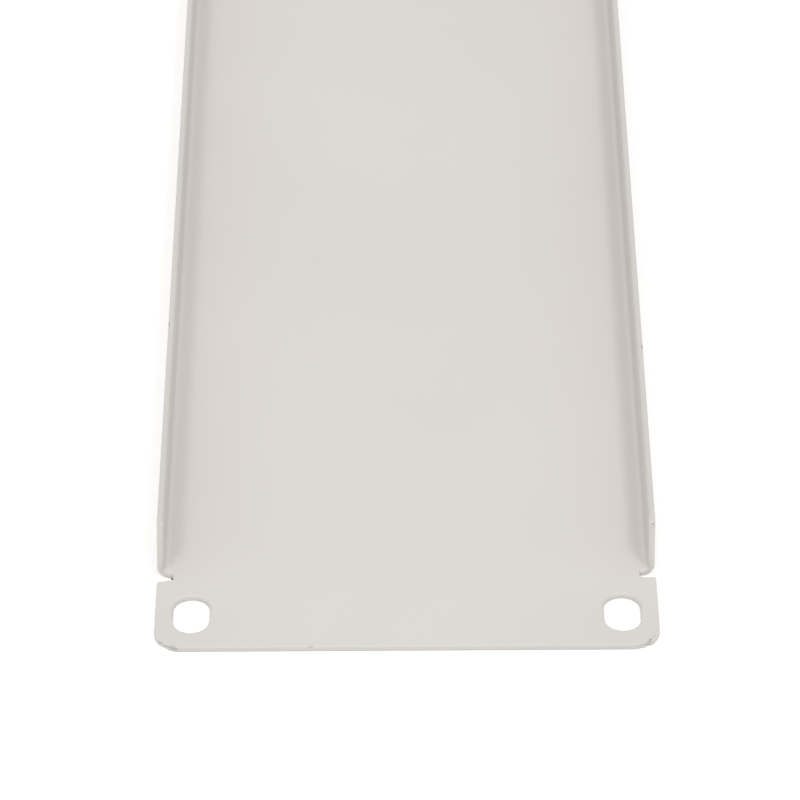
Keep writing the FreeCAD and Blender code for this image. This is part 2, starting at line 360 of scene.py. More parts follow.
class Path:
    """Points of an outline with their normals. Each run starts where the one before it ends."""

    def __init__(self, marks):
        self.marks = marks
        self.points = []

    def line(self, start, end, normal, stops=()):
        """Straight run, up to but not at its end."""
        run = sample_line(start, end, self.marks, stops)
        skipped = 1 if self.points else 0
        self.points += [(point, Vector(normal)) for point in run[skipped:]]

    def arc(self, centre, radius, start, end, outward=True):
        """Round run, with both ends. On a hollow corner its normals point to the centre."""
        centre = Vector(centre)
        sign = 1 if outward else -1
        middle = on_circle(centre, radius, (start + end) / 2)
        step = min(ARC_STEP, local_step(middle, self.marks) / radius)
        count = max(FEWEST_ARC_STEPS, math.ceil(abs(end - start) / step))
        for k in range(count + 1):
            point = on_circle(centre, radius, start + (end - start) * k / count)
            self.points.append((point, sign * (point - centre).normalized()))


def quarter_outline(size, fold, marks, skew):
    """One quarter of the outline, from the end of the panel to the middle of its flange."""
    ear_inner = fold.ear_inner + skew
    end_x = size.length / 2
    edge = size.ear_width / 2
    quarter_turn = math.pi / 2

    corner = (end_x - size.ear_corner, edge - size.ear_corner)
    mouth = (ear_inner + size.slit_mouth, edge - size.slit_mouth)
    deep = size.slit_overrun
    bottom_near = (ear_inner - deep, fold.start)
    bottom_far = (fold.flange_end + deep, fold.start)
    tip = (fold.flange_end - size.flange_corner, fold.tip - size.flange_corner)
    rise = tip[1] - fold.start
    stops = [(row - fold.start) / rise for row in fold_rows(fold) if row > fold.start]

    path = Path(marks)
    path.line((end_x, 0), (end_x, corner[1]), (1, 0))
    path.arc(corner, size.ear_corner, 0, quarter_turn)
    path.line((corner[0], edge), (mouth[0], edge), (0, 1))
    path.arc(mouth, size.slit_mouth, quarter_turn, 2 * quarter_turn)
    path.line((ear_inner, mouth[1]), (ear_inner, fold.start), (-1, 0))
    path.arc(bottom_near, deep, 0, -quarter_turn, outward=False)
    path.line((bottom_near[0], fold.slit_bottom), (bottom_far[0], fold.slit_bottom), (0, 1))
    path.arc(bottom_far, deep, -quarter_turn, -2 * quarter_turn, outward=False)
    path.line((fold.flange_end, fold.start), (fold.flange_end, tip[1]), (1, 0), stops)
    path.arc(tip, size.flange_corner, 0, quarter_turn)
    path.line((tip[0], fold.tip), (0, fold.tip), (0, 1))
    path.points.append((Vector((0, fold.tip)), Vector((0, 1))))
    return path.points


def full_outline(size, fold, marks):
    """The closed outline, counter-clockwise, from four mirrored quarters."""
    loop = []
    for sign_x, sign_y in ((1, 1), (-1, 1), (-1, -1), (1, -1)):
        nearby = [mark.mirrored(sign_x, sign_y) for mark in marks]
        quarter = quarter_outline(size, fold, nearby, -sign_x * sign_y * size.slit_skew)
        mirror = Vector((sign_x, sign_y))
        turned = [(point * mirror, normal * mirror) for point, normal in quarter]
        if sign_x * sign_y < 0:
            turned.reverse()
        loop += turned[:-1]
    return loop


def slot_centres(size):
    """Middles of the four screw slots."""
    half_span, half_pitch = size.slot_span / 2, size.slot_pitch / 2
    return [(x * half_span, y * half_pitch) for x in (-1, 1) for y in (-1, 1)]


def slot_reach(size):
    """From the middle of a slot to the centres of its round ends."""
    return size.slot_length / 2 - size.slot_radius


def slot_outline(size, centre, marks):
    """Closed outline of a slot, clockwise. Its normals point into the slot."""
    reach = slot_reach(size)
    middle = Vector(centre)
    path = Path(marks)
    for side in (1, -1):
        end = middle + Vector((side * reach, 0))
        first = side * math.pi / 2
        path.arc(end, size.slot_radius, first, first - math.pi, outward=False)
        across = -side * size.slot_radius
        start = middle + Vector((side * reach, across))
        finish = middle + Vector((-side * reach, across))
        path.line(start, finish, (0, side))
    return path.points


def in_a_slot(point, size, inset):
    """Whether a point lies in a slot that is larger by inset all round."""
    for centre_x, centre_y in slot_centres(size):
        beyond = max(0.0, abs(point.x - centre_x) - slot_reach(size))
        if math.hypot(beyond, point.y - centre_y) < size.slot_radius + inset:
            return True
    return False


def part_rolled(size, full, share):
    """Radius between the least roll and the full one."""
    return size.rear_edge + (full - size.rear_edge) * min(1, max(0, share))


def slot_roll(size, point):
    """Radius of the rear face's rolled edge at a slot, where it is large only on the inner side."""
    reach = slot_reach(size)
    share = (size.slot_span / 2 + reach - abs(point.x)) / (2 * reach)
    return part_rolled(size, size.slot_edge, share)


def rear_roll(size, fold, point):
    """Radius of the rear face's rolled edge: small, but for slots, and tops and ends of flanges."""
    along, across = abs(point.x), abs(point.y)
    if across >= fold.tip - WELD:
        from_end = (fold.flange_end - size.flange_corner - along) / ROLL_RUN
        return part_rolled(size, size.top_edge, from_end)
    if along <= fold.flange_end + size.slit_overrun + WELD:
        from_bottom = (across - fold.slit_bottom) / size.slit_overrun
        up_wall = max(0, across - fold.start - fold.arc - HOLD) / ROLL_RUN
        from_corner = (fold.tip - size.flange_corner - across) / ROLL_RUN
        share = min(from_bottom, 1 - WALL_EDGE_FADE * min(1, up_wall), from_corner)
        return part_rolled(size, size.end_edge, share)
    if in_a_slot(point, size, WELD):
        return slot_roll(size, point)
    return size.rear_edge


def edge_profile(size, roll):
    """Section of a painted edge, from the front face to the rear: how far in, how far through."""
    front = size.front_edge
    turns = [math.pi / 2 * k / EDGE_ARC_SEGMENTS for k in range(EDGE_ARC_SEGMENTS + 1)]
    flat = size.thickness - front - roll
    return [
        (front + HOLD, 0.0),
        *((front * (1 - math.sin(turn)), front * (1 - math.cos(turn))) for turn in turns),
        *((0.0, front + flat * k / EDGE_FLAT_STEPS) for k in range(1, EDGE_FLAT_STEPS)),
        *((roll * (1 - math.cos(turn)), size.thickness - roll * (1 - math.sin(turn))) for turn in turns),
        (roll + HOLD, size.thickness),
    ]


def face_inset(size, roll, face):
    """How far inside its outline a flat face begins."""
    return edge_profile(size, roll)[face][0]


def add_edge_band(mesh, loop, size, fold):
    """Rounded edge round one outline."""
    profiles = [edge_profile(size, rear_roll(size, fold, point)) for point, _ in loop]
    rings = [
        [
            mesh.verts.new((*(point - normal * inset), through))
            for (point, normal), (inset, through) in zip(loop, level)
        ]
        for level in zip(*profiles)
    ]
    count = len(loop)
    for lower, upper in zip(rings, rings[1:]):
        for k in range(count):
            after = (k + 1) % count
            mesh.faces.new((lower[k], lower[after], upper[after], upper[k]))


def add_run(points, edges, run, closed):
    """Adds points, and an edge from each to the next."""
    first = len(points)
    points.extend(run)
    last = len(points) - 1
    edges.extend((k, k + 1) for k in range(first, last))
    if closed:
        edges.append((last, first))


def edge_finder(points, edges):
    """What tells how near a point is to the edges, from points a fine step apart on them."""
    samples = []
    for first, last in edges:
        count = math.ceil((points[last] - points[first]).length / FINE_STEP)
        samples += [points[first].lerp(points[last], k / count) for k in range(count)]
    tree = kdtree.KDTree(len(samples))
    for index, point in enumerate(samples):
        tree.insert((*point, 0), index)
    tree.balance()
    return tree


def face_points(fold, marks, finder):
    """Points inside the faces: a loose grid, and a fine one round each mark, clear of the edges."""
    along = int(fold.ear_inner / FACE_GRID)
    across = int((fold.start - 2 * HOLD) / FACE_GRID)
    inner = [
        Vector((i * FACE_GRID, j * FACE_GRID))
        for i in range(-along, along + 1)
        for j in range(-across, across + 1)
    ]
    patches = {}
    for mark in marks:
        reach = PATCH_REACH * mark.reach
        low = [math.floor((mark.place[k] - reach[k]) / FINE_STEP) for k in range(2)]
        high = [math.ceil((mark.place[k] + reach[k]) / FINE_STEP) for k in range(2)]
        for i in range(low[0], high[0] + 1):
            for j in range(low[1], high[1] + 1):
                # Every second row is set over by half a step.
                patches[i, j] = Vector(((i + 0.5 * (j % 2)) * FINE_STEP, j * FINE_STEP))
    for point in patches.values():
        if finder.find((*point, 0))[2] > PATCH_CLEARANCE:
            inner.append(point)
    return inner


def add_face(mesh, loops, size, fold, marks, face):
    """Flat face between the outlines, with edges to fold along and points where it is worn."""
    points = []
    edges = []
    for loop in loops:
        run = []
        for point, normal in loop:
            run.append(point - normal * face_inset(size, rear_roll(size, fold, point), face))
        add_run(points, edges, run, closed=True)
    flange_edge = Vector((fold.flange_end, fold.start))
    stop = fold.flange_end - face_inset(size, rear_roll(size, fold, flange_edge), face)
    columns = [point.x for point in sample_line((stop, fold.tip), (0, fold.tip), marks)]
    columns = columns + [0.0] + [-x for x in reversed(columns)]
    for row in fold_rows(fold):
        for side in (-1, 1):
            add_run(points, edges, [Vector((x, side * row)) for x in columns], closed=False)
    points += face_points(fold, marks, edge_finder(points, edges))

    through = edge_profile(size, size.rear_edge)[face][1]
    coordinates, _, triangles, *_ = geometry.delaunay_2d_cdt(
        points, edges, [], INSIDE_EDGES, SAME_POINT
    )
    corners = [mesh.verts.new((*point, through)) for point in coordinates]
    for triangle in triangles:
        middle = sum((coordinates[k] for k in triangle), Vector((0, 0))) / 3
        if in_a_slot(middle, size, face_inset(size, slot_roll(size, middle), face)):
            continue
        order = triangle if face == REAR else tuple(reversed(triangle))
        mesh.faces.new([corners[k] for k in order])


def cut_blank(size, fold, marks):
    """The flat sheet as one closed mesh: two faces, and a rounded edge round each outline."""
    loops = [full_outline(size, fold, marks)]
    loops += [slot_outline(size, centre, marks) for centre in slot_centres(size)]
    mesh = bmesh.new()
    for loop in loops:
        add_edge_band(mesh, loop, size, fold)
    for face in (FRONT, REAR):
        add_face(mesh, loops, size, fold, marks, face)
    bmesh.ops.remove_doubles(mesh, verts=mesh.verts, dist=WELD)
    loose = [vertex for vertex in mesh.verts if not vertex.link_faces]
    bmesh.ops.delete(mesh, geom=loose, context="VERTS")
    open_edges = [edge for edge in mesh.edges if len(edge.link_faces) != 2]
    if open_edges:
        raise RuntimeError("the blank has %d open edges" % len(open_edges))
    result = bpy.data.meshes.new("blank")
    mesh.to_mesh(result)
    mesh.free()
    return result


# ---- geometry nodes

# A mark, measured in its own reaches: its dent and its stain grow from a rim to a core.
DENT_GROWS = (1.15, 0.25)
STAIN_GROWS = (1.0, 0.55)

# The noise that makes a mark's outline ragged: waves in a metre, and how far two seeds lie apart.
RAGGED_SCALE = 0.35 / FINE_STEP
RAGGED_DETAIL = 2.0
SEED_STEP = 1.7

# Each side's own shift sets in over this run before the fold.
SHIFT_RUN = 1.2 * MM

# A fold's end is drawn in over a run along the panel. It opens and closes at shares of the
# turn, and the inside of the fold is pushed out by a share of it.
DRAW_RUN = 3.0 * MM
DRAW_OPENS = (0.05, 0.66)
DRAW_CLOSES = (0.98, 0.62)
DRAW_INSIDE = -0.3

# Painted shade on a sheared edge, over paint that is thin there: at the rear face, and how much more at the
# front.
EDGE_SHADE_AT_REAR = 0.1
EDGE_SHADE_TO_FRONT = 0.8

# The top of a flange is this last band of the flat sheet.
TOP_BAND = 0.5 * MM

# What each group of nodes is given. A dent's are those of its mark.
RIM_INPUTS = ("Thickness", "Rim", "Slit middle", "Fold start", "Flange tip")
FOLD_INPUTS = ("Thickness", "Fold start", "Outer radius", "Middle radius", "Slit middle", "Slit width")
FOLD_INPUTS += ("Left angle", "Right angle", "Left shift", "Right shift", "End draw")
DENT_VECTORS = ("Place", "Reach", "Push")
DENT_NUMBERS = ("Ragged", "Chip", "Scuff")


class Tree:
    """Short ways to add nodes to a tree."""

    def __init__(self, tree):
        self.tree = tree

    def socket(self, name, kind, output=False):
        """Named input or output of the tree."""
        side = "OUTPUT" if output else "INPUT"
        self.tree.interface.new_socket(name=name, in_out=side, socket_type=kind)

    def numbers(self, names):
        """Named number inputs of the tree."""
        for name in names:
            self.socket(name, "NodeSocketFloat")

    def inputs(self):
        """What the tree is given, by name."""
        return self.node("NodeGroupInput").outputs

    def result(self, **outputs):
        """The tree itself, once its outputs are fed."""
        self.node("NodeGroupOutput", **outputs)
        return self.tree

    def node(self, kind, settings=None, **inputs):
        """Node of a kind, with its settings and its inputs linked or set."""
        node = self.tree.nodes.new(kind)
        for name, value in (settings or {}).items():
            setattr(node, name, value)
        self.feed(node, inputs)
        return node

    def value(self, kind, settings=None, **inputs):
        """First output of a new node."""
        return self.node(kind, settings, **inputs).outputs[0]

    def group(self, tree, **inputs):
        """Another tree of the same kind, as one node."""
        kind = self.tree.bl_idname.replace("Tree", "Group")
        return self.node(kind, {"node_tree": tree}, **inputs)

    def feed(self, node, inputs):
        """Link or set a node's inputs, named in words or by number after an underscore."""
        for name, value in inputs.items():
            socket = node.inputs[int(name[1:]) if name[0] == "_" else name.replace("_", " ")]
            if isinstance(value, bpy.types.NodeSocket):
                self.tree.links.new(value, socket)
            elif value is not None:
                socket.default_value = value

    def math(self, operation, first, second=None, third=None):
        """Number worked out from up to three others."""
        kind = {"operation": operation}
        return self.value("ShaderNodeMath", kind, _0=first, _1=second, _2=third)

    def plus(self, first, second):
        """Sum of two numbers."""
        return self.math("ADD", first, second)

    def minus(self, first, second):
        """First number less the second."""
        return self.math("SUBTRACT", first, second)

    def times(self, first, second):
        """Product of two numbers."""
        return self.math("MULTIPLY", first, second)

    def vector(self, operation, first, second=None):
        """Vector, or the length of one, worked out from up to two others."""
        node = self.node("ShaderNodeVectorMath", {"operation": operation}, _0=first, _1=second)
        return node.outputs["Value" if operation == "LENGTH" else "Vector"]

    def scaled(self, vector, factor):
        """Vector, or colour, times a number."""
        return self.value("ShaderNodeVectorMath", {"operation": "SCALE"}, _0=vector, Scale=factor)

    def split(self, vector):
        """A vector's parts: along, across and through."""
        return self.node("ShaderNodeSeparateXYZ", Vector=vector).outputs

    def ramp(self, value, low, high):
        """From 0 at low to 1 at high, smoothly."""
        smooth = {"interpolation_type": "SMOOTHSTEP"}
        return self.value("ShaderNodeMapRange", smooth, Value=value, From_Min=low, From_Max=high)

    def slope(self, value, low, high, start=0.0, end=1.0):
        """From start at low to end at high, evenly."""
        ends = {"From Min": low, "From Max": high, "To Min": start, "To Max": end}
        return self.value("ShaderNodeMapRange", Value=value, **ends)

    def noise(self, place, scale, detail, roughness):
        """Cloudy noise, from 0 to 1."""
        form = {"Scale": scale, "Detail": detail, "Roughness": roughness}
        return self.value("ShaderNodeTexNoise", Vector=place, **form)

    def mixed(self, share, first, second):
        """Colour between two others."""
        colours = {"data_type": "RGBA"}
        return self.node("ShaderNodeMix", colours, _0=share, _6=first, _7=second).outputs[2]

    def store(self, points, name, value):
        """Geometry with a number stored on each point."""
        kind = {"data_type": "FLOAT", "domain": "POINT"}
        given = {"Geometry": points, "Name": name, "Value": value}
        return self.value("GeometryNodeStoreNamedAttribute", kind, **given)

    def seen(self):
        """1 where a ray from the camera arrives straight, mirrored or through something clear."""
        path = self.node("ShaderNodeLightPath").outputs
        mirrored = self.math("MAXIMUM", path["Is Glossy Ray"], path["Is Transmission Ray"])
        return self.math("MAXIMUM", path["Is Camera Ray"], mirrored)


def geometry_tree(name):
    """A tree that changes a geometry. Its other inputs are still to be added."""
    tree = Tree(bpy.data.node_groups.new(name, "GeometryNodeTree"))
    tree.socket("Geometry", "NodeSocketGeometry")
    tree.socket("Geometry", "NodeSocketGeometry", output=True)
    return tree


def dent_group():
    """Pushes the sheet about one point, with a ragged outline, and stores how worn it is."""
    tree = geometry_tree("Dent")
    for name in DENT_VECTORS:
        tree.socket(name, "NodeSocketVector")
    tree.numbers(DENT_NUMBERS)
    tree.socket("Seed", "NodeSocketInt")
    given = tree.inputs()
    position = tree.value("GeometryNodeInputPosition")
    from_place = tree.vector("SUBTRACT", position, given["Place"])
    in_reaches = tree.vector("LENGTH", tree.vector("DIVIDE", from_place, given["Reach"]))
    noise = tree.value(
        "ShaderNodeTexNoise",
        {"noise_dimensions": "4D"},
        Vector=position,
        W=tree.times(given["Seed"], SEED_STEP),
        Scale=RAGGED_SCALE,
        Detail=RAGGED_DETAIL,
    )
    # The noise, spread from between 0 and 1 to between -1 and 1.
    uneven = tree.times(tree.minus(noise, 0.5), given["Ragged"])
    distance = tree.plus(in_reaches, tree.times(uneven, 2.0))
    stain = tree.ramp(distance, *STAIN_GROWS)
    result = given["Geometry"]
    for name in ("Chip", "Scuff"):
        stored = {"data_type": "FLOAT"}
        before = tree.value("GeometryNodeInputNamedAttribute", stored, Name=name.lower())
        worn = tree.math("MAXIMUM", before, tree.times(stain, given[name]))
        result = tree.store(result, name.lower(), worn)
    push = tree.scaled(given["Push"], tree.ramp(distance, *DENT_GROWS))
    moved = tree.value("GeometryNodeSetPosition", Geometry=result, Offset=push)
    return tree.result(Geometry=moved)


def drawn_in(tree, given, end, bent, through):
    """How far bending draws in the sheet near a fold's end, at a share of the turn."""
    opens = tree.ramp(bent, *DRAW_OPENS)
    closes = tree.ramp(bent, *DRAW_CLOSES)
    inner_end = tree.minus(given["Slit middle"], DRAW_RUN)
    near_end = tree.ramp(end, inner_end, given["Slit middle"])
    tilt = tree.slope(through, 0.0, given["Thickness"], 1.0, DRAW_INSIDE)
    round_turn = tree.times(opens, closes)
    draw = tree.times(round_turn, tree.times(near_end, tilt))
    return tree.times(draw, given["End draw"])


def fold_group():
    """Turns up both long edges of the flat sheet between the slits, each side by its own amount."""
    tree = geometry_tree("Fold")
    tree.numbers(FOLD_INPUTS)
    given = tree.inputs()
    position = tree.value("GeometryNodeInputPosition")
    along, across, through = tree.split(position)
    side = tree.math("SIGN", across)
    distance = tree.math("ABSOLUTE", across)
    end = tree.math("ABSOLUTE", along)
    on_right = tree.math("GREATER_THAN", across, 0.0)
    angle, shift = (
        tree.slope(on_right, 0.0, 1.0, given["Left " + name], given["Right " + name])
        for name in ("angle", "shift")
    )

    in_flange = tree.math("LESS_THAN", end, given["Slit middle"])
    past_start = tree.math("MAXIMUM", tree.minus(distance, given["Fold start"]), 0.0)
    past = tree.times(past_start, in_flange)
    arc = tree.times(angle, given["Middle radius"])
    turn = tree.math("DIVIDE", tree.math("MINIMUM", past, arc), given["Middle radius"])
    wall = tree.math("MAXIMUM", tree.minus(past, arc), 0.0)
    radius = tree.minus(given["Outer radius"], through)
    sine = tree.math("SINE", turn)
    cosine = tree.math("COSINE", turn)

    shift_start = tree.minus(given["Fold start"], SHIFT_RUN)
    near_fold = tree.slope(distance, shift_start, tree.minus(given["Fold start"], HOLD))
    half_slit = tree.times(given["Slit width"], 0.5)
    past_slit = tree.plus(given["Slit middle"], half_slit)
    before_slit = tree.minus(given["Slit middle"], half_slit)
    between_slits = tree.slope(end, past_slit, before_slit)
    shifted = tree.times(shift, tree.times(near_fold, between_slits))

    flat = tree.plus(tree.minus(distance, past), shifted)
    reach = tree.math("MULTIPLY_ADD", radius, sine, flat)
    out_by = tree.times(tree.math("MULTIPLY_ADD", wall, cosine, reach), side)
    drop = tree.minus(given["Outer radius"], tree.times(radius, cosine))
    height = tree.math("MULTIPLY_ADD", wall, sine, drop)
    drawn = drawn_in(tree, given, end, tree.math("DIVIDE", past, arc), through)
    drawn = tree.times(drawn, tree.math("SIGN", along))
    along = tree.minus(along, drawn)
    folded = tree.value("ShaderNodeCombineXYZ", X=along, Y=out_by, Z=height)
    moved = tree.value("GeometryNodeSetPosition", Geometry=given["Geometry"], Position=folded)
    return tree.result(Geometry=moved)


def rim_group():
    """Stores how much darker the cut edges are painted: painted shade, over paint that is thin.

    The shade is full all over the tops of the flanges, grows towards the front face round the
    web and the ears, and is none on the ends of the flanges.
    """
    tree = geometry_tree("Cut edge")
    tree.numbers(RIM_INPUTS)
    given = tree.inputs()
    position = tree.value("GeometryNodeInputPosition")
    along, across, through = tree.split(position)
    along = tree.math("ABSOLUTE", along)
    across = tree.math("ABSOLUTE", across)
    below_rear = tree.minus(given["Thickness"], through)
    depth = tree.math("MINIMUM", through, below_rear)
    in_edge = tree.slope(depth, 0.0, given["Rim"])
    top_start = tree.minus(given["Flange tip"], TOP_BAND)
    on_top = tree.math("GREATER_THAN", across, top_start)
    on_ear = tree.math("GREATER_THAN", along, given["Slit middle"])
    on_web = tree.math("LESS_THAN", across, given["Fold start"])
    to_front = tree.math("DIVIDE", below_rear, given["Thickness"])
    flat = tree.math("MAXIMUM", on_ear, on_web)
    # Painted shade on the web's and ears' cut edges, darker towards the front face.
    sheared = tree.times(flat, tree.math("MULTIPLY_ADD", to_front, EDGE_SHADE_TO_FRONT, EDGE_SHADE_AT_REAR))
    thin = tree.slope(on_top, 0.0, 1.0, sheared, 1.0)
    result = tree.store(given["Geometry"], "edge", tree.times(in_edge, thin))
    return tree.result(Geometry=result)


def panel_tree(marks, paint):
    """Wears the flat sheet, folds it and gives it its paint. Sizes are named inputs."""
    tree = geometry_tree("Rack panel")
    tree.numbers(dict.fromkeys(RIM_INPUTS + FOLD_INPUTS))
    tree.socket("Paint", "NodeSocketMaterial")
    given = tree.inputs()
    sizes = {name: given[name] for name in RIM_INPUTS}
    node = tree.group(rim_group(), Geometry=given["Geometry"], **sizes)
    dent = dent_group()
    for index, mark in enumerate(marks):
        worn = {name: getattr(mark, name.lower()) for name in DENT_VECTORS + DENT_NUMBERS}
        node = tree.group(dent, Geometry=node.outputs[0], Seed=index + paint.seed, **worn)
        node.label = mark.name
    sizes = {name: given[name] for name in FOLD_INPUTS}
    node = tree.group(fold_group(), Geometry=node.outputs[0], **sizes)
    smooth = tree.value("GeometryNodeSetShadeSmooth", Geometry=node.outputs[0])
    real = tree.value("GeometryNodeRealizeInstances", Geometry=smooth)
    painted = tree.value("GeometryNodeSetMaterial", Geometry=real, Material=given["Paint"])
    return tree.result(Geometry=painted)


def set_inputs(modifier, values):
    """Modifier inputs by their names in the tree's interface."""
    for item in modifier.node_group.interface.items_tree:
        if item.item_type == "SOCKET" and item.in_out == "INPUT" and item.name in values:
            modifier[item.identifier] = values[item.name]


# ---- materials

WHITE = (1.0, 1.0, 1.0, 1.0)
SCUFFED = (0.36, 0.35, 0.32, 1.0)
# Near black: paint chipped through, and also the painted shade at the left slit's tip.
BARE_AND_SHADE = (0.04, 0.038, 0.034, 1.0)
PAINT_SPECULAR = 0.42

# The powder coat's two layers of relief: name, and detail of its noise.
RELIEF = (("Peel", 1.0), ("Grit", 2.0))
RELIEF_ROUGHNESS = 0.45

# A faint cloud in the paint's tone, and the fine grain of a scuff: size, detail, roughness.
CLOUD = (55.0 * MM, 3.0, 0.5)
CLOUD_SPAN = (0.3, 0.7)
TONE_SPAN = (0.985, 1.012)
GRAIN = (0.22 * MM, 3.0, 0.6)

# A scuff's strength is a share of the grain and a least share, and it dulls the paint.
SCUFF_GRAIN = 1.1
SCUFF_LEAST = 0.1
SCUFF_DULLS = 0.22

# Painted shade darkens the corners of the ears, standing in for light that falls off there. It
# sets in and is full at these distances along the panel and, from a line beside its middle, across it.
CORNER_SHADE_ALONG = (HIGH[0] - 19.3 * MM, HIGH[0] - 5.3 * MM)
CORNER_SHADE_ACROSS = (12.0 * MM, 46.0 * MM)
CORNER_SHADE_MIDDLE = -2.0 * MM

FLOOR_COLOUR = (0.90, 0.90, 0.90, 1.0)
FLOOR_ROUGHNESS = 0.9
FLOOR_GLOW = 0.245


def relief_group():
    """Height of a powder coat's surface: soft lumps of orange peel with a fine grain on them."""
    tree = Tree(bpy.data.node_groups.new("Powder coat surface", "ShaderNodeTree"))
    tree.socket("Position", "NodeSocketVector")
    for layer, _ in RELIEF:
        tree.numbers((layer + " size", layer + " height"))
    tree.socket("Height", "NodeSocketFloat", output=True)
    given = tree.inputs()
    heights = []
    for layer, detail in RELIEF:
        scale = tree.math("DIVIDE", 1.0, given[layer + " size"])
        noise = tree.noise(given["Position"], scale, detail, RELIEF_ROUGHNESS)
        heights.append(tree.times(noise, given[layer + " height"]))
    return tree.result(Height=tree.plus(*heights))


def wear_group():
    """Colour and roughness of paint that is scuffed in places and chipped through in others, and darkened
    with painted shade at its cut edges and the ears' corners.
    """
    tree = Tree(bpy.data.node_groups.new("Worn paint", "ShaderNodeTree"))
    tree.socket("Position", "NodeSocketVector")
    for name in ("Paint", "Scuffed", "Bare"):
        tree.socket(name, "NodeSocketColor")
    tree.numbers(("Roughness", "Edge", "Edge darkening", "Handling", "Chip", "Scuff"))
    tree.socket("Colour", "NodeSocketColor", output=True)
    tree.socket("Roughness", "NodeSocketFloat", output=True)
    given = tree.inputs()
    cloud, grain = (
        tree.noise(given["Position"], 1 / size, detail, roughness)
        for size, detail, roughness in (CLOUD, GRAIN)
    )
    tone = tree.slope(cloud, *CLOUD_SPAN, *TONE_SPAN)
    along, across, _ = tree.split(given["Position"])
    to_end = tree.ramp(tree.math("ABSOLUTE", along), *CORNER_SHADE_ALONG)
    aside = tree.math("ABSOLUTE", tree.minus(across, CORNER_SHADE_MIDDLE))
    to_side = tree.ramp(aside, *CORNER_SHADE_ACROSS)
    corner_shaded = tree.times(tree.times(to_end, to_side), given["Handling"])
    # Painted shade: the cut edges and the ears' corners are made darker.
    thin = tree.times(given["Edge"], given["Edge darkening"])
    shade = tree.minus(tone, tree.plus(thin, corner_shaded))
    toned = tree.scaled(given["Paint"], shade)
    grainy = tree.math("MULTIPLY_ADD", grain, SCUFF_GRAIN, SCUFF_LEAST)
    worn = tree.times(given["Scuff"], grainy)
    scuffed = tree.mixed(worn, toned, given["Scuffed"])
    return tree.result(
        Colour=tree.mixed(given["Chip"], scuffed, given["Bare"]),
        Roughness=tree.math("MULTIPLY_ADD", worn, SCUFF_DULLS, given["Roughness"]),
    )


def new_material(name):
    """Material, with the tree of its nodes and its shader."""
    material = bpy.data.materials.new(name)
    material.use_nodes = True
    return material, Tree(material.node_tree), material.node_tree.nodes["Principled BSDF"]


def powder_coat(paint):
    """Satin powder coat with its orange peel, scuffs and chips, and painted shade on its cut edges, its
    ears' corners and at the left slit's tip.
    """
    material, tree, shader = new_material("warm grey powder coat")
    position = tree.node("ShaderNodeTexCoord").outputs["Object"]
    relief = tree.group(
        relief_group(),
        Position=position,
        Peel_size=paint.peel_size,
        Peel_height=paint.peel_height,
        Grit_size=paint.grit_size,
        Grit_height=paint.grit_height,
    )
    # The edge attribute holds painted shade on the cut edges; chip and scuff hold wear, and chip also the
    # painted shade at the left slit's tip.
    stored = {
        name: tree.node("ShaderNodeAttribute", {"attribute_name": name.lower()}).outputs["Fac"]
        for name in ("Edge", "Chip", "Scuff")
    }
    wear = tree.group(
        wear_group(),
        Position=position,
        Paint=(*paint.colour, 1.0),
        Scuffed=SCUFFED,
        Bare=BARE_AND_SHADE,
        Roughness=paint.roughness,
        Edge_darkening=paint.edge_darkening,
        Handling=paint.handling,
        **stored,
    )
    bump = tree.value("ShaderNodeBump", Strength=1.0, Distance=1.0, Height=relief.outputs[0])
    tree.feed(
        shader,
        {
            "Base Color": wear.outputs["Colour"],
            "Roughness": wear.outputs["Roughness"],
            "Normal": bump,
            "Specular IOR Level": PAINT_SPECULAR,
        },
    )
    return material


def floor_white():
    """Matt white floor that keeps the panel's shadow and shows a shade paler to the camera."""
    material, tree, shader = new_material("studio white")
    tree.feed(
        shader,
        {
            "Base Color": FLOOR_COLOUR,
            "Roughness": FLOOR_ROUGHNESS,
            "Specular IOR Level": 0.0,
            "Emission Color": WHITE,
            "Emission Strength": tree.times(tree.seen(), FLOOR_GLOW),
        },
    )
    return material


# ---- pieces


def linked(name, data):
    """Object in the scene, at the origin."""
    thing = bpy.data.objects.new(name, data)
    bpy.context.scene.collection.objects.link(thing)
    return thing


def make_panel(size, paint):
    """Cut, wear, fold and paint the sheet, and put it in the CAD solid's place."""
    fold = Fold(size)
    marks = wear_marks(size, fold)
    blank = linked("folded_sheet", cut_blank(size, fold, marks))
    modifier = blank.modifiers.new("Wear and fold", "NODES")
    modifier.node_group = panel_tree(marks, paint)
    values = {
        "Thickness": size.thickness,
        "Rim": paint.rim,
        "Flange tip": fold.tip,
        "Fold start": fold.start,
        "Outer radius": fold.outer,
        "Middle radius": fold.middle,
        "Slit middle": (fold.flange_end + fold.ear_inner) / 2,
        "Slit width": size.slit_width,
        "Left angle": fold.angle + size.left_lean,
        "Right angle": fold.angle + size.right_lean,
        "Left shift": size.left_shift,
        "Right shift": size.right_shift,
        "End draw": size.end_draw,
        "Paint": powder_coat(paint),
    }
    set_inputs(modifier, values)
    graph = bpy.context.evaluated_depsgraph_get()
    folded = bpy.data.meshes.new_from_object(blank.evaluated_get(graph))
    blank.modifiers.remove(modifier)
    blank.data = folded
    folded.name = "folded_sheet"
    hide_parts(NODE)
    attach(blank, BODY)


class RACKPANEL_OT_panel(bpy.types.Operator):
    """Cut the blank, wear it, fold its edges and paint it"""

    bl_idname = "rack_panel.panel"
    bl_label = "Make the panel"

    def execute(self, context):
        make_panel(context.scene.rack_panel, context.scene.rack_paint)
        return {"FINISHED"}


# ---- stage

# The floor lies this far under the panel.
FLOOR_GAP = 0.02 * MM

# Direction of a softbox from the panel: along it, to a side, and up.
LAMP_ALONG = 7.5
LAMP_ASIDE = 3.4
LAMP_UP = 12.0

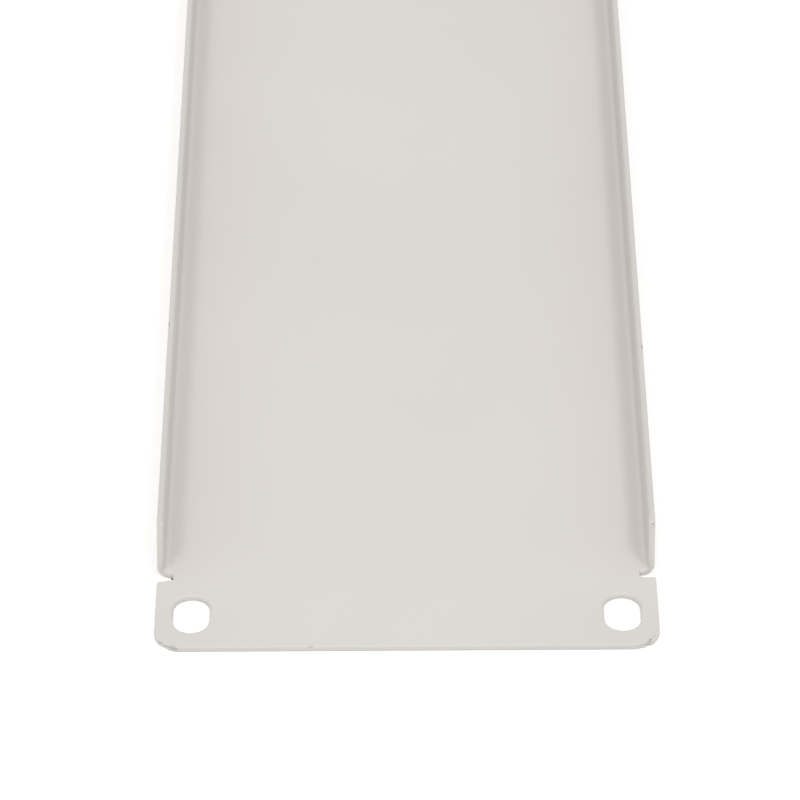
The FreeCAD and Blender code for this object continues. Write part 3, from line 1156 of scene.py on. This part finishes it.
# The camera stands past the +X end and looks down along the panel.
CAMERA_PAST_END = 598.3 * MM
CAMERA_ASIDE = -1.0 * MM
CAMERA_HEIGHT = 535.4 * MM
CAMERA_PITCH = math.radians(38.68)
CAMERA_ROLL = math.radians(-0.314)
CAMERA_LENS = 205.7


def aim(thing, forward, up):
    """Turn a lamp or camera to look along forward, with up as near as can be to its top."""
    right = forward.cross(up).normalized()
    top = right.cross(forward).normalized()
    thing.matrix_world = Matrix.Translation(thing.location) @ Matrix(
        (right, top, -forward.normalized())
    ).transposed().to_4x4()


def make_floor(stage):
    """White floor a hair under the panel, so that the two never share a plane."""
    half = stage.floor_size / 2
    mesh = bpy.data.meshes.new("floor")
    corners = [(x * half, y * half, -FLOOR_GAP) for x, y in ((-1, -1), (1, -1), (1, 1), (-1, 1))]
    mesh.from_pydata(corners, [], [(0, 1, 2, 3)])
    mesh.materials.append(floor_white())
    linked("floor", mesh)


def make_lamps(stage):
    """Softboxes over the +X end: one to each side, and one between them."""
    for name, side, power in (
        ("left softbox", -1, stage.left_power),
        ("right softbox", 1, stage.right_power),
        ("front softbox", 0, stage.front_power),
    ):
        data = bpy.data.lights.new(name, "AREA")
        data.energy = power
        data.size = stage.lamp_size
        lamp = linked(name, data)
        towards = Vector((LAMP_ALONG, side * LAMP_ASIDE, LAMP_UP)).normalized()
        lamp.location = towards * stage.lamp_distance
        aim(lamp, -towards, Vector((0, 0, 1)))


def make_surround(stage):
    """Even white surround, pure white where the camera sees it."""
    world = bpy.data.worlds.new("white surround")
    bpy.context.scene.world = world
    world.use_nodes = True
    tree = Tree(world.node_tree)
    background = world.node_tree.nodes["Background"]
    strength = tree.math("MULTIPLY_ADD", tree.seen(), 1.0 - stage.sky, stage.sky)
    tree.feed(background, {"Color": WHITE, "Strength": strength})


def make_camera():
    """Camera past the +X end, looking down along the panel."""
    data = bpy.data.cameras.new("camera")
    data.lens = CAMERA_LENS
    camera = linked("camera", data)
    camera.location = (HIGH[0] + CAMERA_PAST_END, CAMERA_ASIDE, CAMERA_HEIGHT)
    forward = Vector((-math.cos(CAMERA_PITCH), 0, -math.sin(CAMERA_PITCH)))
    up = Matrix.Rotation(CAMERA_ROLL, 3, -forward) @ Vector((0, 0, 1))
    aim(camera, forward, up)
    bpy.context.scene.camera = camera


class RACKPANEL_OT_stage(bpy.types.Operator):
    """Lay the floor, hang the lamps and place the camera"""

    bl_idname = "rack_panel.stage"
    bl_label = "Set the stage"

    def execute(self, context):
        stage = context.scene.rack_stage
        make_floor(stage)
        make_lamps(stage)
        make_surround(stage)
        make_camera()
        context.scene.view_settings.view_transform = "Standard"
        return {"FINISHED"}


# ---- add-on


class RACKPANEL_PT_sidebar(bpy.types.Panel):
    """Sizes, paint and stage of the rack panel"""

    bl_idname = "RACKPANEL_PT_sidebar"
    bl_label = "Rack panel"
    bl_space_type = "VIEW_3D"
    bl_region_type = "UI"
    bl_category = "Rack panel"

    def draw(self, context):
        for settings, operator in (
            (context.scene.rack_panel, RACKPANEL_OT_panel.bl_idname),
            (context.scene.rack_paint, None),
            (context.scene.rack_stage, RACKPANEL_OT_stage.bl_idname),
        ):
            box = self.layout.box()
            for name in settings.__annotations__:
                box.prop(settings, name)
            if operator:
                box.operator(operator)


SETTINGS = {"rack_panel": PanelSettings, "rack_paint": PaintSettings, "rack_stage": StageSettings}
CLASSES = (*SETTINGS.values(), RACKPANEL_OT_panel, RACKPANEL_OT_stage, RACKPANEL_PT_sidebar)


def register():
    """Add the classes, and the settings that the operators read."""
    for each in CLASSES:
        bpy.utils.register_class(each)
    for name, settings in SETTINGS.items():
        setattr(bpy.types.Scene, name, PointerProperty(type=settings))


def unregister():
    """Take away all that register added."""
    for name in SETTINGS:
        delattr(bpy.types.Scene, name)
    for each in reversed(CLASSES):
        bpy.utils.unregister_class(each)


def main():
    """Make the scene."""
    register()
    bpy.ops.rack_panel.stage()
    bpy.ops.rack_panel.panel()


if __name__ == "__main__":
    main()
